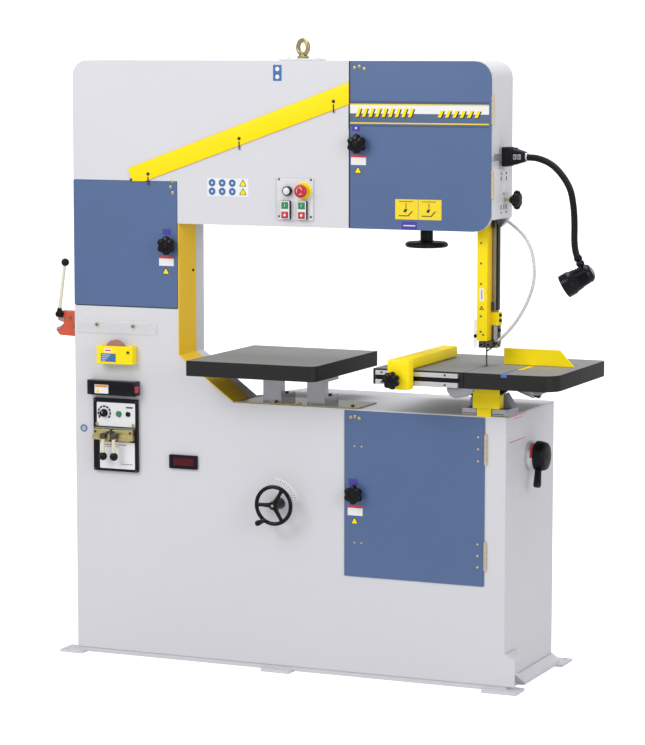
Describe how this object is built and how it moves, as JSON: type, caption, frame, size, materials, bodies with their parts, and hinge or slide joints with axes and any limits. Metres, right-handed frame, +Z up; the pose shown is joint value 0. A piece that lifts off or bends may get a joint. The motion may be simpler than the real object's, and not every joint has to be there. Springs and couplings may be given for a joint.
{
  "type": "vertical band saw",
  "caption": "Vertical metal-cutting band saw with a deep throat, tilting table, blade welder, shear and work lamp.",
  "frame": {"origin": "middle of the footprint, on the floor under the feet", "axes": "+Z up; +X along the front towards the throat's open side and the cutting blade; +Y from the front panel to the back"},
  "size_m": [1.7974, 0.691, 1.9764],
  "materials": {
    "grey_paint": "light grey powder coat, fine orange peel",
    "blue_paint": "blue-grey powder coat, satin",
    "yellow_paint": "safety yellow powder coat, satin",
    "red_paint": "red enamel",
    "white_paint": "white enamelled plate",
    "motor_paint": "dark grey enamel",
    "table_iron": "ground top, oiled, dark painted sides",
    "machined_steel": "milled and ground steel",
    "blade_steel": "dark spring steel with milled teeth",
    "chrome": "bright plated",
    "brass": "dull brass",
    "aluminium_trim": "anodised, brushed",
    "black_plastic": "black, lightly textured",
    "gloss_black": "black, polished",
    "green_plastic": "green push-button",
    "red_plastic": "red push-button",
    "hose_plastic": "milky translucent tube",
    "clear_plastic": "clear guard sheet",
    "label_print": "printed label film, wordless",
    "display_glass": "dark red display window",
    "belt_rubber": "black V-belt",
    "grinding_stone": "bonded abrasive, pink-brown and granular"
  },
  "bodies": {
    "frame": {"base_frame": "grey_paint", "base_front_panel": "grey_paint", "base_shell": "grey_paint", "base_top_panel": "grey_paint", "throat_panel": "grey_paint", "left_side_panel": "grey_paint", "rear_panel": "grey_paint", "arm_front_panel": "grey_paint", "arm_shell": "grey_paint", "throat_blade_cover": "yellow_paint", "left_wheel_shaft": "machined_steel", "drive_motor": "motor_paint", "drive_belt": "belt_rubber", "saw_blade": "blade_steel", "left_table": "table_iron", "left_table_stand": "machined_steel", "trunnion_base": "machined_steel", "air_hose": "hose_plastic", "lamp_arm": "black_plastic", "switch_plate": "white_paint", "welder_panel": "black_plastic", "grinder_guard": "yellow_paint", "welder_light": "black_plastic", "shear_body": "red_paint", "lifting_eye": "chrome"},
    "lower_wheel": {"lower_wheel": "machined_steel", "drive_shaft": "machined_steel"},
    "guide_post": {"guide_post": "machined_steel", "guide_head": "machined_steel"},
    "left_door": {"left_door": "blue_paint"},
    "upper_door": {"upper_door": "blue_paint"},
    "lower_door": {"lower_door": "blue_paint"},
    "left_door_knob": {"left_door_knob": "black_plastic"},
    "upper_door_knob": {"upper_door_knob": "black_plastic"},
    "lower_door_knob": {"lower_door_knob": "black_plastic"},
    "upper_wheel": {"upper_wheel": "machined_steel"},
    "left_wheel": {"left_wheel": "machined_steel"},
    "wheel_carriage": {"wheel_carriage": "machined_steel"},
    "tension_handwheel": {"tension_handwheel": "gloss_black"},
    "motor_pulley": {"motor_pulley": "machined_steel"},
    "right_table": {"right_table": "table_iron"},
    "rip_fence": {"rip_fence": "yellow_paint"},
    "rip_fence_knob": {"rip_fence_knob": "black_plastic"},
    "mitre_bar": {"mitre_bar": "machined_steel"},
    "mitre_fence": {"mitre_fence": "yellow_paint"},
    "post_lock_knob": {"post_lock_knob": "black_plastic"},
    "lamp_head": {"lamp_head": "black_plastic"},
    "start_button_left": {"start_button_left": "green_plastic"},
    "start_button_right": {"start_button_right": "green_plastic"},
    "stop_button_left": {"stop_button_left": "red_plastic"},
    "stop_button_right": {"stop_button_right": "red_plastic"},
    "emergency_stop": {"emergency_stop": "red_plastic"},
    "clamp_lever_left": {"clamp_lever_left": "gloss_black"},
    "clamp_lever_right": {"clamp_lever_right": "gloss_black"},
    "weld_current_knob": {"weld_current_knob": "gloss_black"},
    "weld_button": {"weld_button": "green_plastic"},
    "grinding_wheel": {"grinding_wheel": "grinding_stone"},
    "shear_lever": {"shear_lever": "gloss_black"},
    "speed_handwheel": {"speed_handwheel": "gloss_black"},
    "side_dial": {"side_dial": "black_plastic"}
  },
  "joints": [
    {"name": "left_door_hinge", "type": "hinge", "parent": "frame", "child": "left_door", "pos_m": [-0.8262, -0.153, 1.33], "axis": [0, 0, 1], "range_deg": [-110, 0]},
    {"name": "upper_door_hinge", "type": "hinge", "parent": "frame", "child": "upper_door", "pos_m": [0.5956, -0.153, 1.65], "axis": [0, 0, 1], "range_deg": [0, 110]},
    {"name": "lower_door_hinge", "type": "hinge", "parent": "frame", "child": "lower_door", "pos_m": [0.5811, -0.158, 0.58], "axis": [0, 0, 1], "range_deg": [0, 110]},
    {"name": "left_knob_turn", "type": "hinge", "parent": "left_door", "child": "left_door_knob", "pos_m": [-0.4827, -0.1549, 1.329], "axis": [0, 1, 0], "range_deg": [0, 90]},
    {"name": "upper_knob_turn", "type": "hinge", "parent": "upper_door", "child": "upper_door_knob", "pos_m": [0.1645, -0.1549, 1.656], "axis": [0, 1, 0], "range_deg": [0, 90]},
    {"name": "lower_knob_turn", "type": "hinge", "parent": "lower_door", "child": "lower_door_knob", "pos_m": [0.1564, -0.1579, 0.58], "axis": [0, 1, 0], "range_deg": [0, 90]},
    {"name": "lower_wheel_spin", "type": "hinge", "parent": "frame", "child": "lower_wheel", "pos_m": [0.3332, -0.0639, 0.58], "axis": [0, 1, 0], "continuous": true},
    {"name": "carriage_slide", "type": "slide", "parent": "frame", "child": "wheel_carriage", "axis": [0, 0, 1], "range_m": [-0.012, 0]},
    {"name": "upper_wheel_spin", "type": "hinge", "parent": "wheel_carriage", "child": "upper_wheel", "pos_m": [0.3332, -0.0639, 1.654], "axis": [0, 1, 0], "continuous": true},
    {"name": "left_wheel_spin", "type": "hinge", "parent": "frame", "child": "left_wheel", "pos_m": [-0.6377, -0.0639, 1.345], "axis": [0, 1, 0], "continuous": true},
    {"name": "motor_spin", "type": "hinge", "parent": "frame", "child": "motor_pulley", "pos_m": [-0.0627, 0.1755, 0.24], "axis": [0, 1, 0], "continuous": true},
    {"name": "tension_screw_turn", "type": "hinge", "parent": "frame", "child": "tension_handwheel", "pos_m": [0.3332, -0.0195, 1.37], "axis": [0, 0, 1], "range_deg": [-1084, 4]},
    {"name": "table_tilt", "type": "hinge", "parent": "frame", "child": "right_table", "pos_m": [0.5478, -0.0639, 0.9856], "axis": [0, 1, 0], "range_deg": [-15, 15]},
    {"name": "fence_slide", "type": "slide", "parent": "right_table", "child": "rip_fence", "axis": [1, 0, 0], "range_m": [-0.05, 0.12]},
    {"name": "fence_knob_turn", "type": "hinge", "parent": "rip_fence", "child": "rip_fence_knob", "pos_m": [0.3433, -0.3155, 0.96], "axis": [0, 1, 0], "range_deg": [-90, 90]},
    {"name": "mitre_slide", "type": "slide", "parent": "right_table", "child": "mitre_bar", "axis": [0, 1, 0], "range_m": [-0.09, 0.13]},
    {"name": "mitre_swivel", "type": "hinge", "parent": "mitre_bar", "child": "mitre_fence", "pos_m": [0.6753, 0.0255, 0.9856], "axis": [0, 0, 1], "range_deg": [-45, 45]},
    {"name": "post_slide", "type": "slide", "parent": "frame", "child": "guide_post", "axis": [0, 0, 1], "range_m": [-0.03, 0.26], "deforming": ["air_hose"]},
    {"name": "post_lock_turn", "type": "hinge", "parent": "frame", "child": "post_lock_knob", "pos_m": [0.6123, -0.042, 1.4904], "axis": [1, 0, 0], "range_deg": [-90, 90]},
    {"name": "lamp_tilt", "type": "hinge", "parent": "frame", "child": "lamp_head", "pos_m": [0.8513, -0.0875, 1.308], "axis": [0, 1, 0], "range_deg": [-35, 35]},
    {"name": "start_left_press", "type": "slide", "parent": "frame", "child": "start_button_left", "axis": [0, 1, 0], "range_m": [0, 0.003], "stiffness_N_per_m": 400, "springref_m": -0.001},
    {"name": "start_right_press", "type": "slide", "parent": "frame", "child": "start_button_right", "axis": [0, 1, 0], "range_m": [0, 0.003], "stiffness_N_per_m": 400, "springref_m": -0.001},
    {"name": "stop_left_press", "type": "slide", "parent": "frame", "child": "stop_button_left", "axis": [0, 1, 0], "range_m": [0, 0.003], "stiffness_N_per_m": 400, "springref_m": -0.001},
    {"name": "stop_right_press", "type": "slide", "parent": "frame", "child": "stop_button_right", "axis": [0, 1, 0], "range_m": [0, 0.003], "stiffness_N_per_m": 400, "springref_m": -0.001},
    {"name": "emergency_stop_press", "type": "slide", "parent": "frame", "child": "emergency_stop", "axis": [0, 1, 0], "range_m": [0, 0.0035]},
    {"name": "weld_press", "type": "slide", "parent": "frame", "child": "weld_button", "axis": [0, 1, 0], "range_m": [0, 0.003], "stiffness_N_per_m": 400, "springref_m": -0.001},
    {"name": "weld_current_turn", "type": "hinge", "parent": "frame", "child": "weld_current_knob", "pos_m": [-0.711, -0.169, 0.7878], "axis": [0, 1, 0], "range_deg": [-135, 135]},
    {"name": "clamp_left_swing", "type": "hinge", "parent": "frame", "child": "clamp_lever_left", "pos_m": [-0.7002, -0.2005, 0.718], "axis": [0, 1, 0], "range_deg": [0, 90]},
    {"name": "clamp_right_swing", "type": "hinge", "parent": "frame", "child": "clamp_lever_right", "pos_m": [-0.6617, -0.2005, 0.718], "axis": [0, 1, 0], "range_deg": [-90, 0]},
    {"name": "grinder_spin", "type": "hinge", "parent": "frame", "child": "grinding_wheel", "pos_m": [-0.6659, -0.1745, 0.992], "axis": [0, 1, 0], "continuous": true},
    {"name": "shear_pull", "type": "hinge", "parent": "frame", "child": "shear_lever", "pos_m": [-0.8807, -0.1525, 1.097], "axis": [0, 1, 0], "range_deg": [-80, 0]},
    {"name": "speed_wheel_turn", "type": "hinge", "parent": "frame", "child": "speed_handwheel", "pos_m": [-0.1001, -0.2065, 0.534], "axis": [0, 1, 0], "continuous": true},
    {"name": "dial_turn", "type": "hinge", "parent": "frame", "child": "side_dial", "pos_m": [0.6443, 0.0605, 0.699], "axis": [1, 0, 0], "range_deg": [0, 300]}
  ],
  "couplings": [
    {"joint": "upper_wheel_spin", "follows": "lower_wheel_spin", "ratio": 1},
    {"joint": "left_wheel_spin", "follows": "lower_wheel_spin", "ratio": 1.2624},
    {"joint": "motor_spin", "follows": "lower_wheel_spin", "ratio": 2.1111},
    {"joint": "tension_screw_turn", "follows": "carriage_slide", "rad_per_m": 1570.8}
  ]
}
